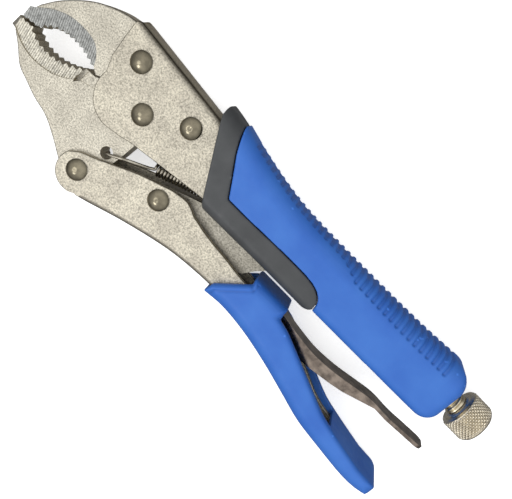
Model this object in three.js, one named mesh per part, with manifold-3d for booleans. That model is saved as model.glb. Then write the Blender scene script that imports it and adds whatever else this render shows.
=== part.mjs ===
// Curved-jaw locking pliers with moulded grips, closed and locked, lying on one side.
// Millimetres. X runs from the jaws to the adjusting knob, Y from the lower handle to the
// upper handle's spine, Z along the pivots. Everything is drawn round the jaw pivot on the
// mid-plane, and the last lines move the whole tool so that it lies on Z = 0.
import * as THREE from 'three';
import { mergeVertices } from 'three/addons/utils/BufferGeometryUtils.js';
import Module from 'manifold-3d';

const wasm = await Module();
wasm.setup();

// ---------------------------------------------------------------- driving dimensions
const PIVOT = {
  jaw: [0, 0],
  jawFrontRivet: [-13.6, 14.3],
  jawRearRivet: [17.4, 10],
  lowerJaw: [-4.8, -35.4],
  link: [27.2, -19.9],
  linkEnd: [99, 6.8],
  lever: [86, -25],
  springHook: [-0.9, -22.2],
  springAnchor: [52.5, 0.6],
};
const SHEET = 2;                       // thickness of both folded handles
const CHANNEL_IN = 5.5;                // half the clear width between the cheeks
const CHANNEL_OUT = CHANNEL_IN + SHEET;
const FOLD = 3;                        // outside radius of the fold along each spine
const JAW_HALF = 5.2;                  // half the thickness of the forged jaws
const TOOTH_HALF = 4.5;                // half the thickness of the milled tooth band
const TOOTH_DEPTH = 1.1;
const LINK_HALF = 4.2;
const LEVER_HALF = 4.2;
const LEVER_SHEET = 1.6;
const RIVET_SHANK = 3;
const RIVET_HEAD = 4.5;
const RIVET_DOME = 2;
const RIVET_HOLE = 3.3;
const PIN_RADIUS = 2;
const ANCHOR_RADIUS = 1.5;
const PIN_GAP = 0.3;                   // running gap round pins, shanks and seats
const GRIP_HALF = 11.5;                // half the thickness of both moulded grips
const GRIP_ROUND = 5;                  // rounding along the upper grip's rims
const UPPER_BACK_ROUND = 8;            // and along its spine
const LOWER_GRIP_ROUND = 2;            // rounding along the lower grip's inner rims
const LOWER_BACK_ROUND = 6.3;          // and along its outer side
const COLLAR_ROUND = 5;                // rounding along the rims of its collar
const TAIL_ROUND = 6.5;                // the lower grip's end, seen from above its spine
const GRIP_SEAT = CHANNEL_OUT + PIN_GAP;
const SCREW_Y = 6.8;                   // height of the adjusting screw's axis
const SCREW_RADIUS = 4.85;
const SCREW_TIP_X = 108;
const SHANK_RADIUS = 3.9;
const KNOB_RADIUS = 8.9;
const KNOB_X = 170.2;
const KNOB_LENGTH = 12.4;
const BUSH_RADIUS = 8.6;
const BUSH_X = 150.4;
const BUSH_LENGTH = 12.6;
const COIL_RADIUS = 3;
const WIRE_RADIUS = 0.8;
const COIL_FRONT = [17.2, -13.4];      // ends of the return spring's coils
const COIL_REAR = [43, -3.8];
const FAR = 60;                        // reach of a cutting block past the tool

// ---------------------------------------------------------------- outline helpers
const deg = (angle) => THREE.MathUtils.degToRad(angle);
const point = ([x, y]) => new THREE.Vector2(x, y);

// Straight corners.
const corners = (...list) => list.map(point);

// A smooth run through a few points.
const smooth = (list, steps) => new THREE.SplineCurve(list.map(point)).getPoints(steps);

// An arc round a centre, angles in degrees, counter-clockwise when to > from.
const arc = ([cx, cy], radius, from, to, steps) => Array.from({ length: steps + 1 }, (_, i) => {
  const angle = deg(from + ((to - from) * i) / steps);
  return new THREE.Vector2(cx + radius * Math.cos(angle), cy + radius * Math.sin(angle));
});

// Saw teeth along a curve: crests on one side of it, roots on the other.
function teeth(curve, count, depth) {
  const half = depth / 2;
  return Array.from({ length: 2 * count + 1 }, (_, i) => {
    const u = i / (2 * count);
    const along = curve.getTangentAt(u);
    const side = i % 2 === 0 ? half : -half;
    return curve.getPointAt(u).add(new THREE.Vector2(-along.y, along.x).multiplyScalar(side));
  });
}

// One closed outline from runs of points, without doubled points at the joins.
function outline(...runs) {
  const list = runs.flat();
  return new THREE.Shape(list.filter((p, i) => p.distanceTo(list[(i + 1) % list.length]) > 1e-3));
}

// ---------------------------------------------------------------- solid helpers
function solid(geometry) {
  const bare = geometry.index ? geometry.toNonIndexed() : geometry.clone();
  bare.deleteAttribute('normal');
  bare.deleteAttribute('uv');
  const merged = mergeVertices(bare, 1e-4);
  return new wasm.Manifold(new wasm.Mesh({
    numProp: 3,
    vertProperties: new Float32Array(merged.attributes.position.array),
    triVerts: new Uint32Array(merged.index.array),
  }));
}

// A flat plate of the outline between two heights.
function plate(shape, low, high) {
  const geometry = new THREE.ExtrudeGeometry(shape, { depth: high - low, bevelEnabled: false });
  return solid(geometry.translate(0, 0, low));
}

// A plate with rounded rims, centred on the mid-plane.
function cushion(shape, half, round) {
  const geometry = new THREE.ExtrudeGeometry(shape, {
    depth: 2 * (half - round),
    bevelThickness: round,
    bevelSize: round,
    bevelOffset: -round,
    bevelSegments: 5,
  });
  return solid(geometry.translate(0, 0, round - half));
}

// A turned piece about the Z axis through a pivot; the profile is [radius, height] pairs.
function turnedZ(profile, [x, y], segments = 20) {
  const geometry = new THREE.LatheGeometry(profile.map(point), segments);
  return solid(geometry.rotateX(Math.PI / 2).translate(x, y, 0));
}

// A turned piece about the screw axis; the profile is [radius, x] pairs.
function turnedX(profile, segments = 24) {
  const geometry = new THREE.LatheGeometry(profile.map(point), segments);
  return solid(geometry.rotateZ(-Math.PI / 2).translate(0, SCREW_Y, 0));
}

const drill = (centre, radius, reach = FAR) => turnedZ(
  [[0, -reach], [radius, -reach], [radius, reach], [0, reach]], centre,
);
const boreX = (radius, low, high) => turnedX([[0, low], [radius, low], [radius, high], [0, high]]);

// A round bar along a smooth route of [x, y, z] points.
function wire(route, radius, steps) {
  const path = new THREE.CatmullRomCurve3(route.map((p) => new THREE.Vector3(...p)));
  const section = outline(arc([0, 0], radius, 0, 315, 7));
  return solid(new THREE.ExtrudeGeometry(section, { steps, extrudePath: path }));
}

// A plate of an [x, z] outline, standing across the tool from y = -FAR to FAR.
function standing(shape) {
  const geometry = new THREE.ExtrudeGeometry(shape, { depth: 2 * FAR, bevelEnabled: false });
  return solid(geometry.rotateX(Math.PI / 2).translate(0, FAR, 0));
}

// A block cut off at x = end, where both of its upright corners are rounded.
function roundEnded(end, half, round) {
  return standing(outline(
    corners([-FAR, half], [-FAR, -half]),
    arc([end - round, round - half], round, -90, 0, 8),
    arc([end - round, half - round], round, 0, 90, 8),
  ));
}

// A section carried along a line of [x, y] points on the mid-plane.
function carried(section, line, steps) {
  const path = new THREE.CatmullRomCurve3(line.map(([x, y]) => new THREE.Vector3(x, y, 0)));
  return solid(new THREE.ExtrudeGeometry(section, { steps, extrudePath: path }));
}

// A thick body whose back follows a line, rounded where the back meets both sides.
// side = 1 lies above the line, -1 below.
function backed(line, side, half, round, steps) {
  const rim = FAR * side;
  const section = outline(
    corners([-half, rim]),
    arc([round - half, round * side], round, 180 * side, 270 * side, 8),
    arc([half - round, round * side], round, 270 * side, 360 * side, 8),
    corners([half, rim]),
  );
  return carried(section, line, steps);
}

// Folded sheet: a U section carried along the fold line. side = 1 opens upwards, -1 downwards.
function foldedSheet(foldLine, side, steps) {
  const rim = FAR * side;
  const quarter = (x, radius, from, to) => arc([x, FOLD * side], radius, from * side, to * side, 3);
  const flat = CHANNEL_OUT - FOLD;
  const section = outline(
    corners([-CHANNEL_OUT, rim]),
    quarter(-flat, FOLD, 180, 270),
    quarter(flat, FOLD, 270, 360),
    corners([CHANNEL_OUT, rim], [CHANNEL_IN, rim]),
    quarter(flat, FOLD - SHEET, 360, 270),
    quarter(-flat, FOLD - SHEET, 270, 180),
    corners([-CHANNEL_IN, rim]),
  );
  return carried(section, foldLine, steps);
}

// ---------------------------------------------------------------- finishes
const finish = (color, roughness, metalness) => (
  new THREE.MeshStandardMaterial({ color, roughness, metalness })
);
const FINISH = {
  nickelSheet: finish(0xc4c0b6, 0.5, 0.9),
  forged: finish(0xb9b5ab, 0.5, 0.9),
  rivet: finish(0x6f6a5f, 0.25, 1),
  polished: finish(0xcfcac0, 0.2, 1),
  knob: finish(0xc2bbaa, 0.3, 1),
  springSteel: finish(0x6b675f, 0.4, 0.9),
  blueGrip: finish(0x3f6fd2, 0.5, 0),
  blackGrip: finish(0x3b3d40, 0.6, 0),
};

const assembly = new THREE.Group();

function addNode(name, manifold, material) {
  const { vertProperties, triVerts } = manifold.getMesh();
  const geometry = new THREE.BufferGeometry();
  geometry.setAttribute('position', new THREE.BufferAttribute(new Float32Array(vertProperties), 3));
  geometry.setIndex(new THREE.BufferAttribute(new Uint32Array(triVerts), 1));
  geometry.computeVertexNormals();
  const mesh = new THREE.Mesh(geometry, material);
  mesh.name = name;
  assembly.add(mesh);
}

// ---------------------------------------------------------------- handles
const UPPER_FOLD = [
  [-32, 26.3], [-4, 23.3], [24, 20.4], [45, 18], [66, 16.4], [88, 16.2], [120, 16.2], [150, 16.2],
];
const LOWER_FOLD = [
  [-4, -46], [6, -43.2], [22.6, -37.8], [42.2, -32.8], [58, -30.8], [74, -30.4],
  [89, -31.6], [104, -34.9], [118, -38.6], [131, -42], [145, -44.2], [160, -45.8],
];
const LOWER_CHEEK_FRONT = [
  [-11.6, -31.6], [-8.3, -29], [-2.1, -26.3], [3.3, -23.6], [14.2, -18.3], [22.9, -15], [28.8, -12.9],
];
const LOWER_CHEEK_REAR = [
  [41.9, -14.2], [51.8, -16.1], [63.1, -17.2], [75, -18.6], [92, -19.6], [100, -21.7],
  [108, -25.2], [120, -30.2], [135, -36.3], [158, -39.8],
];
const LOWER_NOSE = [-4.8, -36.6];      // centre of the round nose round the lower jaw rivet
const LOWER_NOSE_RADIUS = 8.7;
const WEB_START = 1;                   // the lower handle's fold begins behind the nose

function upperHandleChannel() {
  const cheek = outline(
    corners([-23.4, FAR], [-23.4, 25.3], [-25.3, 24.2], [-24.8, 16], [-23.9, 8]),
    arc([-9, -1], 13, 167, 285, 14),
    corners([-1, -12.9], [3.6, -11.6], [9, -10.8], [40, -6.4], [58, -4.6], [149.6, -3.6], [149.6, FAR]),
  );
  return foldedSheet(UPPER_FOLD, -1, 24)
    .intersect(plate(cheek, -FAR, FAR))
    .subtract(drill(PIVOT.jaw, RIVET_HOLE))
    .subtract(drill(PIVOT.jawFrontRivet, RIVET_HOLE))
    .subtract(drill(PIVOT.jawRearRivet, RIVET_HOLE))
    .subtract(drill(PIVOT.springAnchor, ANCHOR_RADIUS + PIN_GAP));
}

function lowerHandleChannel() {
  const cheek = outline(
    corners([158, -FAR], [0.2, -FAR], [0.2, -43.7]),
    arc(LOWER_NOSE, LOWER_NOSE_RADIUS, -55, -210, 18),
    smooth(LOWER_CHEEK_FRONT, 14),
    smooth([[28.8, -12.9], [35.2, -11.9], [38.6, -12.6], [41.9, -14.2]], 8),
    smooth(LOWER_CHEEK_REAR, 24),
  );
  const noseSide = outline(corners(
    [-FAR, 0], [-FAR, -FAR], [0.2, -FAR], [0.2, -43.7], [WEB_START + SHEET, -43], [WEB_START + SHEET, 0],
  ));
  const foldSide = outline(corners([WEB_START, -FAR], [3 * FAR, -FAR], [3 * FAR, 0], [WEB_START, 0]));
  const nose = plate(cheek, -CHANNEL_OUT, CHANNEL_OUT)
    .intersect(plate(noseSide, -FAR, FAR))
    .subtract(plate(noseSide, -CHANNEL_IN, CHANNEL_IN));
  return foldedSheet(LOWER_FOLD, 1, 32)
    .intersect(plate(cheek, -FAR, FAR))
    .intersect(plate(foldSide, -FAR, FAR))
    .add(nose)
    .subtract(drill(PIVOT.lowerJaw, RIVET_HOLE))
    .subtract(drill(PIVOT.link, RIVET_HOLE))
    .subtract(drill(PIVOT.lever, PIN_RADIUS + PIN_GAP));
}

// ---------------------------------------------------------------- jaws
const BOSS_RADIUS = 7.6;               // moving jaw's eye round the jaw pivot
const BOSS_GAP = 0.7;                  // room between that eye and the fixed jaw
const EYE_RADIUS = 7.4;                // moving jaw's eye round the lower handle's rivet

// The milled band beside the teeth stands back from both faces of the forging.
function millBand(jaw, band) {
  return jaw
    .subtract(plate(band, TOOTH_HALF, FAR))
    .subtract(plate(band, -FAR, -TOOTH_HALF));
}

function fixedJaw() {
  const nose = new THREE.LineCurve(point([-61, -6.9]), point([-53.4, -5.8]));
  const arch = new THREE.CubicBezierCurve(
    ...corners([-53.4, -5.8], [-48.5, 1.6], [-38, 2.6], [-27.5, -1.4]),
  );
  const body = outline(
    teeth(nose, 3, -TOOTH_DEPTH / 2),
    teeth(arch, 11, -TOOTH_DEPTH),
    corners([-24.3, -2.7]),
    arc(PIVOT.jaw, BOSS_RADIUS + BOSS_GAP, 115, 15, 12),
    arc(PIVOT.jawRearRivet, 7.2, -110, 0, 10),
    corners([24.6, 16.4], [23, 17.9], [-22, 22.5], [-25, 22.9]),
    smooth([[-26.2, 23.5], [-31.3, 22.4], [-36.6, 20.4], [-41.8, 17.8], [-47.2, 13.8], [-53.4, 7.7],
      [-58, 1.4]], 14),
    corners([-58.8, -0.9], [-61, -2.2]),
  );
  const band = outline(
    corners([-70, -20], [-70, -1.1]),
    smooth([[-58.6, -1.1], [-54.4, 3.4], [-44.9, 7.5], [-36.1, 6.7], [-30.4, 5], [-25.7, 0]], 14),
    corners([-25.7, -20]),
  );
  return millBand(plate(body, -JAW_HALF, JAW_HALF), band)
    .subtract(drill(PIVOT.jawFrontRivet, RIVET_HOLE))
    .subtract(drill(PIVOT.jawRearRivet, RIVET_HOLE));
}

function movingJaw() {
  const nose = new THREE.LineCurve(point([-62.4, -8.2]), point([-55.3, -7.6]));
  const arch = new THREE.CubicBezierCurve(
    ...corners([-55.3, -7.8], [-50.5, -11.6], [-40, -13.2], [-28.4, -4.2]),
  );
  const body = outline(
    teeth(nose, 3, TOOTH_DEPTH / 2),
    teeth(arch, 10, TOOTH_DEPTH),
    corners([-24, -3.6]),
    arc(PIVOT.jaw, BOSS_RADIUS, 115, -15, 16),
    corners([5.4, -11.5], [4.4, -20], [3.2, -26]),
    arc(PIVOT.lowerJaw, EYE_RADIUS, 20, -140, 18),
    smooth([[-15.3, -37.9], [-22.1, -33.5], [-29.4, -29.6], [-37.3, -27.5], [-44, -24.9],
      [-49.8, -22.4], [-55.3, -17.1], [-60.6, -12.6]], 18),
    corners([-63.3, -13.1]),
  );
  const band = outline(
    corners([-70, 0], [-70, -11.9]),
    smooth([[-61, -11.9], [-56.6, -14.3], [-53.1, -15.7], [-48.5, -16.5], [-44.3, -16.4],
      [-39.6, -15.6], [-35.9, -14.4], [-30.7, -11.2], [-28.4, -8], [-27.2, -3]], 16),
    corners([-27.2, 0]),
  );
  return millBand(plate(body, -JAW_HALF, JAW_HALF), band)
    .subtract(tipBevel(1))
    .subtract(tipBevel(-1))
    .subtract(drill(PIVOT.jaw, RIVET_HOLE))
    .subtract(drill(PIVOT.lowerJaw, RIVET_HOLE))
    .subtract(drill(PIVOT.springHook, 2.7));
}

// What the bevel on each side of the moving jaw's tip takes off.
function tipBevel(side) {
  const wedge = corners([-60.2, JAW_HALF], [-60.2, FAR], [-70, FAR], [-70, 2.1], [-63.6, 2.1]);
  return standing(outline(wedge.map((p) => p.setY(p.y * side))));
}

// ---------------------------------------------------------------- toggle and release
function toggleLink() {
  const run = point(PIVOT.linkEnd).sub(point(PIVOT.link));
  const slope = THREE.MathUtils.radToDeg(Math.atan2(run.y, run.x));
  const bar = outline(
    arc(PIVOT.linkEnd, 5.5, slope + 90, slope - 90, 12),
    corners([84, -4.6], [79, -7.6], [74.4, -13], [71.4, -17.6]),
    corners([68, -19.6], [62, -20.3], [48, -22.4]),
    arc(PIVOT.link, 5.9, slope - 90, slope - 270, 12),
  );
  return plate(bar, -LINK_HALF, LINK_HALF).subtract(drill(PIVOT.link, RIVET_HOLE));
}

const LEVER_END = 174.4;

function releaseLever() {
  const back = smooth([[74.4, -23], [77, -21.6], [86, -19.2], [94, -17.4], [104, -18.8], [115, -19.9],
    [126, -19.2], [136, -17.5], [145, -16.1], [155, -16.3], [165, -15.7], [173.6, -15.2]], 40);
  const side = outline(
    back,
    corners([LEVER_END, -15.9], [173.8, -16.8], [155, -18], [148.6, -17.8]),
    smooth([[134.6, -22.6], [126.8, -24.2], [115.5, -25.8], [100, -27.6], [86, -28.8], [79, -27.4],
      [74.8, -25]], 16),
  );
  const hollow = outline(
    back.slice(0, 28).map((p) => p.clone().add(new THREE.Vector2(0, -LEVER_SHEET))),
    corners([148, -18], [148, -FAR], [70, -FAR]),
  );
  const inside = LEVER_HALF - LEVER_SHEET;
  return plate(side, -LEVER_HALF, LEVER_HALF)
    .intersect(roundEnded(LEVER_END, LEVER_HALF, LEVER_HALF - 0.2))
    .subtract(plate(hollow, -inside, inside))
    .subtract(drill(PIVOT.lever, PIN_RADIUS + PIN_GAP));
}

// ---------------------------------------------------------------- rivets and pins
function rivet(centre) {
  const seat = CHANNEL_OUT + PIN_GAP;
  const crown = (side) => Array.from({ length: 3 }, (_, i) => {
    const angle = deg(25 * (side > 0 ? i : 2 - i) + 15);
    return [RIVET_HEAD * Math.cos(angle), side * (seat + RIVET_DOME * Math.sin(angle))];
  });
  const top = seat + RIVET_DOME;
  const profile = [
    [0, -top], ...crown(-1), [RIVET_HEAD, -seat], [RIVET_SHANK, -seat],
    [RIVET_SHANK, seat], [RIVET_HEAD, seat], ...crown(1), [0, top],
  ];
  return turnedZ(profile, centre);
}

function crossPin(centre, radius) {
  const half = CHANNEL_OUT - 0.1;
  return turnedZ([[0, -half], [radius, -half], [radius, half], [0, half]], centre, 16);
}

// ---------------------------------------------------------------- adjusting screw
function adjustingScrew() {
  const shoulder = KNOB_X - PIN_GAP;
  const end = KNOB_X + KNOB_LENGTH - 3.2;
  return turnedX([
    [0, SCREW_TIP_X], [SCREW_RADIUS - 1.5, SCREW_TIP_X], [SCREW_RADIUS, SCREW_TIP_X + 1.5],
    [SCREW_RADIUS, shoulder], [SHANK_RADIUS, shoulder], [SHANK_RADIUS, end], [0, end],
  ]);
}

function adjustingKnob() {
  const end = KNOB_X + KNOB_LENGTH;
  const bore = SHANK_RADIUS + PIN_GAP;
  const floor = end - 2.9;
  return turnedX([
    [0, floor], [bore, floor], [bore, KNOB_X], [KNOB_RADIUS - 2.2, KNOB_X],
    [KNOB_RADIUS, KNOB_X + 1.6], [KNOB_RADIUS, end - 2.4], [KNOB_RADIUS - 1.8, end - 0.4], [0, end],
  ], 32);
}

function screwBush() {
  const end = BUSH_X + BUSH_LENGTH;
  const bore = SCREW_RADIUS + PIN_GAP;
  return turnedX([[bore, BUSH_X], [BUSH_RADIUS, BUSH_X], [BUSH_RADIUS, end], [bore, end], [bore, BUSH_X]]);
}

// ---------------------------------------------------------------- return spring
// A close-wound tension spring. Its front leg lies on the moving jaw's face and hooks into the
// jaw; its rear loop goes round the anchor pin.
function returnSpring() {
  const [hookX, hookY] = PIVOT.springHook;
  const [pinX, pinY] = PIVOT.springAnchor;
  const start = new THREE.Vector3(...COIL_FRONT, 0);
  const end = new THREE.Vector3(...COIL_REAR, 0);
  const run = end.clone().sub(start);
  const length = run.length();
  const body = new THREE.LatheGeometry(
    [[0, 0], [COIL_RADIUS, 0], [COIL_RADIUS, length], [0, length]].map(point), 16,
  );
  body.applyQuaternion(new THREE.Quaternion().setFromUnitVectors(
    new THREE.Vector3(0, 1, 0), run.normalize(),
  ));
  body.translate(start.x, start.y, start.z);
  const overFace = JAW_HALF + PIN_GAP + WIRE_RADIUS;
  const leg = wire([
    [start.x + 2, start.y + 0.7, 1.6], [start.x - 2, start.y - 1.2, 3], [hookX + 8, hookY + 4.2, overFace],
    [hookX + 2, hookY + 0.8, overFace], [hookX + 0.2, hookY, overFace - 1.2], [hookX, hookY, 2.4],
  ], WIRE_RADIUS, 26);
  const clear = ANCHOR_RADIUS + 2 * PIN_GAP + WIRE_RADIUS;
  const loop = wire([
    [end.x - 2, end.y - 0.7, 0], [end.x + 3, end.y + 0.4, 0], [pinX, pinY - clear, 0],
    [pinX + clear, pinY, 0], [pinX, pinY + clear, 0], [pinX - clear, pinY + 0.8, 0],
  ], WIRE_RADIUS, 22);
  return solid(body).add(leg).add(loop);
}

// ---------------------------------------------------------------- grips
const BAND_EDGE = [                    // where the black band meets the blue moulding
  [30.4, 27.6], [33.2, 22.2], [36.9, 15.8], [41.6, 9], [46.6, 1.6],
];
const BAND_TONGUE = [[58.4, 1.7], [72.9, 2.2], [88.2, 2.3], [95, 1.2], [99, -1.6], [100.2, -5.4]];
const UPPER_SEAT_BACK = [[0, 23.5], [24, 20.9], [45, 18.5], [66, 16.9], [78, 16.7], [160, 16.7]];
const UPPER_SPINE = [
  [20, 28.8], [31, 26.2], [40, 23.9], [48.6, 22.1], [56.3, 20.7], [67, 19.3], [80, 18.7],
  [120, 18.9], [140, 19.5], [150, 20.2], [180, 22],
];
const BAND_SPINE = [[6, 28.6], [24, 26.6], [33, 25], [44, 23.1], [110, 19.6]];
const LOWER_BACK = [
  [50, -34.8], [64.2, -33.6], [74.5, -32.6], [88.1, -33.8], [103.8, -37.1], [117.7, -40.9],
  [130.4, -44.4], [144.6, -46.3], [160.3, -47.9], [168, -47.6], [173, -46.4], [184, -43.6],
];

const boundary = () => [...corners(...BAND_EDGE), ...smooth([BAND_EDGE.at(-1), ...BAND_TONGUE], 24)];

// The clear space inside the upper grip: the folded handle, the turned bush and the screw.
function upperSeat() {
  const sheet = outline(corners([0, FAR], [150.2, FAR], [150.2, -FAR], [0, -FAR]));
  return backed(UPPER_SEAT_BACK, -1, GRIP_SEAT, FOLD, 16)
    .intersect(plate(sheet, -GRIP_SEAT, GRIP_SEAT))
    .add(boreX(BUSH_RADIUS + PIN_GAP, 149, BUSH_X + BUSH_LENGTH + PIN_GAP))
    .add(boreX(SCREW_RADIUS + 2 * PIN_GAP, 149, KNOB_X));
}

function upperGrip() {
  const body = outline(
    corners([6, 31], [31, 27.8], [56.3, 22.2], [80, 20.4], [120, 20.6], [150, 21]),
    arc([156.3, 11.2], 9.2, 86, 8, 8),
    arc([158.4, 1], 7.1, -8, -90, 7),
    corners([145, -6.4], [103, -6.8], [6, -6.8]),
  );
  const region = outline(
    corners([200, FAR], [30.8, FAR]),
    boundary().map((p) => p.add(new THREE.Vector2(PIN_GAP, PIN_GAP))),
    corners([100.6, -FAR], [200, -FAR]),
  );
  return cushion(body, GRIP_HALF, GRIP_ROUND)
    .intersect(backed(UPPER_SPINE, -1, GRIP_HALF, UPPER_BACK_ROUND, 40))
    .intersect(plate(region, -FAR, FAR))
    .subtract(upperSeat());
}

function upperGripBand() {
  const body = outline(
    corners([6, 34], [24, 32], [44, 28], [110, 24]),
    corners([110, -8.7], [97, -8.7], [78, -8.8], [44, -9.4], [6, -9.4]),
  );
  const region = outline(
    corners([30.2, FAR], [23.6, FAR], [21.9, 27], [22.6, 23.2], [41.6, -8.9], [42.4, -FAR], [96.6, -FAR]),
    corners([97, -8.7], [99.2, -7]),
    boundary().reverse(),
  );
  return cushion(body, GRIP_HALF, GRIP_ROUND)
    .intersect(backed(BAND_SPINE, -1, GRIP_HALF, UPPER_BACK_ROUND, 24))
    .intersect(plate(region, -FAR, FAR))
    .subtract(upperSeat());
}

function lowerGrip() {
  const shell = outline(
    corners([65, -36]),
    smooth([[74.5, -35.2], [88.1, -36.5], [103.8, -39.8], [117.7, -43.6], [130.4, -47], [144.6, -49],
      [160.3, -50.2], [168, -48.8]], 16),
    smooth([[171.6, -46.6], [173.4, -43.6], [172.8, -40.6], [169.4, -39.6]], 8),
    smooth([[161.7, -39.2], [150.5, -37.1], [141.8, -35.3], [134.5, -33.4], [122.3, -28.4],
      [114.5, -25.2], [105.8, -21.6], [98.6, -19], [89, -17.4]], 20),
    corners([77, -16.4], [66, -27.6]),
  );
  const collar = outline(
    corners([76.9, -30], [76.9, -13.7], [94.6, -13.7], [98, -30]),
  );
  const seat = outline(
    smooth([[56, -31.5], [74, -30.9], [89, -32.1], [104, -35.4], [118, -39.1], [131, -42.5],
      [145, -44.7], [158.4, -46.3]], 20),
    corners([158.4, -39.2], [150, -38.2], [141.5, -37], [141.5, FAR], [95.4, FAR], [95.4, -15.9]),
    corners([56, -15.9]),
  );
  return cushion(shell, GRIP_HALF, LOWER_GRIP_ROUND)
    .intersect(backed(LOWER_BACK, 1, GRIP_HALF, LOWER_BACK_ROUND, 40))
    .intersect(roundEnded(173.6, GRIP_HALF, TAIL_ROUND))
    .add(cushion(collar, GRIP_HALF, COLLAR_ROUND))
    .subtract(plate(seat, -GRIP_SEAT, GRIP_SEAT));
}

// ---------------------------------------------------------------- assembly
addNode('upper_handle_channel', upperHandleChannel(), FINISH.nickelSheet);
addNode('lower_handle_channel', lowerHandleChannel(), FINISH.nickelSheet);
addNode('fixed_jaw', fixedJaw(), FINISH.forged);
addNode('moving_jaw', movingJaw(), FINISH.forged);
addNode('toggle_link', toggleLink(), FINISH.nickelSheet);
addNode('release_lever', releaseLever(), FINISH.polished);
addNode('release_lever_pin', crossPin(PIVOT.lever, PIN_RADIUS), FINISH.polished);
addNode('jaw_pivot_rivet', rivet(PIVOT.jaw), FINISH.rivet);
addNode('fixed_jaw_front_rivet', rivet(PIVOT.jawFrontRivet), FINISH.rivet);
addNode('fixed_jaw_rear_rivet', rivet(PIVOT.jawRearRivet), FINISH.rivet);
addNode('lower_handle_rivet', rivet(PIVOT.lowerJaw), FINISH.rivet);
addNode('link_rivet', rivet(PIVOT.link), FINISH.rivet);
addNode('adjusting_screw', adjustingScrew(), FINISH.polished);
addNode('adjusting_knob', adjustingKnob(), FINISH.knob);
addNode('screw_bush', screwBush(), FINISH.nickelSheet);
addNode('return_spring', returnSpring(), FINISH.springSteel);
addNode('spring_anchor_pin', crossPin(PIVOT.springAnchor, ANCHOR_RADIUS), FINISH.polished);
addNode('upper_grip', upperGrip(), FINISH.blueGrip);
addNode('upper_grip_band', upperGripBand(), FINISH.blackGrip);
addNode('lower_grip', lowerGrip(), FINISH.blueGrip);

// The origin goes to the middle of the tool's footprint, on the surface that it lies on.
const box = new THREE.Box3().setFromObject(assembly);
const middle = box.getCenter(new THREE.Vector3());
const lockingPliers = new THREE.Group();
assembly.position.set(-middle.x, -middle.y, -box.min.z);
lockingPliers.add(assembly);

export default lockingPliers;
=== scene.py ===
"""Looks for the curved-jaw locking pliers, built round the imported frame.

Outlines are in millimetres, drawn round the jaw pivot on the tool's mid-plane: X runs from the
jaws to the adjusting knob, Y towards the upper handle's spine, Z along the pivots. place() takes
a finished mesh from there to the frame, in metres.
"""

import math

import bmesh
import bpy
import numpy as np
from mathutils import Matrix, Vector


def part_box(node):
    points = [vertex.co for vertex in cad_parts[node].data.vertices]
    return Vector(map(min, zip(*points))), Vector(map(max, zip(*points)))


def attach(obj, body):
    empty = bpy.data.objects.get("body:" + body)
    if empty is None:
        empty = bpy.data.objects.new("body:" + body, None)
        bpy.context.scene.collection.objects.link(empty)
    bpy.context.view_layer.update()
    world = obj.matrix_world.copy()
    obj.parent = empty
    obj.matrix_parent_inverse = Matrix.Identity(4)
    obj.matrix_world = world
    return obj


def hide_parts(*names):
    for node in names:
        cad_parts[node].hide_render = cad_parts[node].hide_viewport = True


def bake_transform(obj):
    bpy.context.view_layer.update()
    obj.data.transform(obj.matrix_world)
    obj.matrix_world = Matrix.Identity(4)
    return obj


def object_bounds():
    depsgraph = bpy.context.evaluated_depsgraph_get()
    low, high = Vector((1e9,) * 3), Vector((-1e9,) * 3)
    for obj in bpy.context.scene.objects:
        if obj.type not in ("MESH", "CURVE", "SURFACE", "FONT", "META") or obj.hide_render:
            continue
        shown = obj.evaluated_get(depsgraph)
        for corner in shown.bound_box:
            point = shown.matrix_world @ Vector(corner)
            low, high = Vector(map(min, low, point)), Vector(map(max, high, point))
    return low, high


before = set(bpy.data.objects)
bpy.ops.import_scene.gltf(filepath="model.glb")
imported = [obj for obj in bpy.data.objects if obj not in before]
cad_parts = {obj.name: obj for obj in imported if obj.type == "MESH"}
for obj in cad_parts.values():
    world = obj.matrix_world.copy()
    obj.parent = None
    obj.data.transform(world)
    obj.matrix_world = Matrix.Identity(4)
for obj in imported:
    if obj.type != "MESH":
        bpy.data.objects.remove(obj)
cad_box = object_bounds()

# ------------------------------------------------------------------ driving dimensions, in mm
MM = 0.001
PIVOT_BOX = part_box("jaw_pivot_rivet")
ORIGIN = (PIVOT_BOX[0] + PIVOT_BOX[1]) / 2
JAW_PIVOT = (0, 0)
FRONT_RIVET = (-13.6, 14.3)
REAR_RIVET = (17.4, 10)
LOWER_PIVOT = (-4.8, -35.4)
LINK_PIVOT = (27.2, -19.9)
LINK_END = (99, 6.8)
LEVER_PIVOT = (86, -25)
SPRING_HOOK = (-0.9, -22.2)
SPRING_ANCHOR = (52.5, 0.6)
SHEET = 2
CHANNEL_IN = 5.5
CHANNEL_OUT = CHANNEL_IN + SHEET
FOLD = 3
JAW_HALF = 5.2
TOOTH_HALF = 4.5
TOOTH_DEPTH = 1.1
LINK_HALF = 4.2
LEVER_HALF = 4.2
LEVER_SHEET = 1.6
RIVET_HEAD = 4.5
RIVET_DOME = 2
RIVET_SHANK = 3
RIVET_HOLE = 3.3
PIN_GAP = 0.3
SCREW_Y = 6.8
SCREW_RADIUS = 4.85
SCREW_TIP_X = 108
SHANK_RADIUS = 3.9
THREAD_PITCH = 2
THREAD_DEPTH = 0.75
KNOB_RADIUS = 8.9
KNOB_X = 170.2
KNOB_LENGTH = 12.4
COIL_RADIUS = 2.35
WIRE_RADIUS = 0.65
FAR = 60
SEGMENTS = 48


# ------------------------------------------------------------------ outlines
def arc(centre, radius, start, end, steps):
    """Points on an arc, angles in degrees, counter-clockwise when end is above start."""
    angles = [math.radians(start + (end - start) * i / steps) for i in range(steps + 1)]
    return [(centre[0] + radius * math.cos(a), centre[1] + radius * math.sin(a)) for a in angles]


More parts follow.
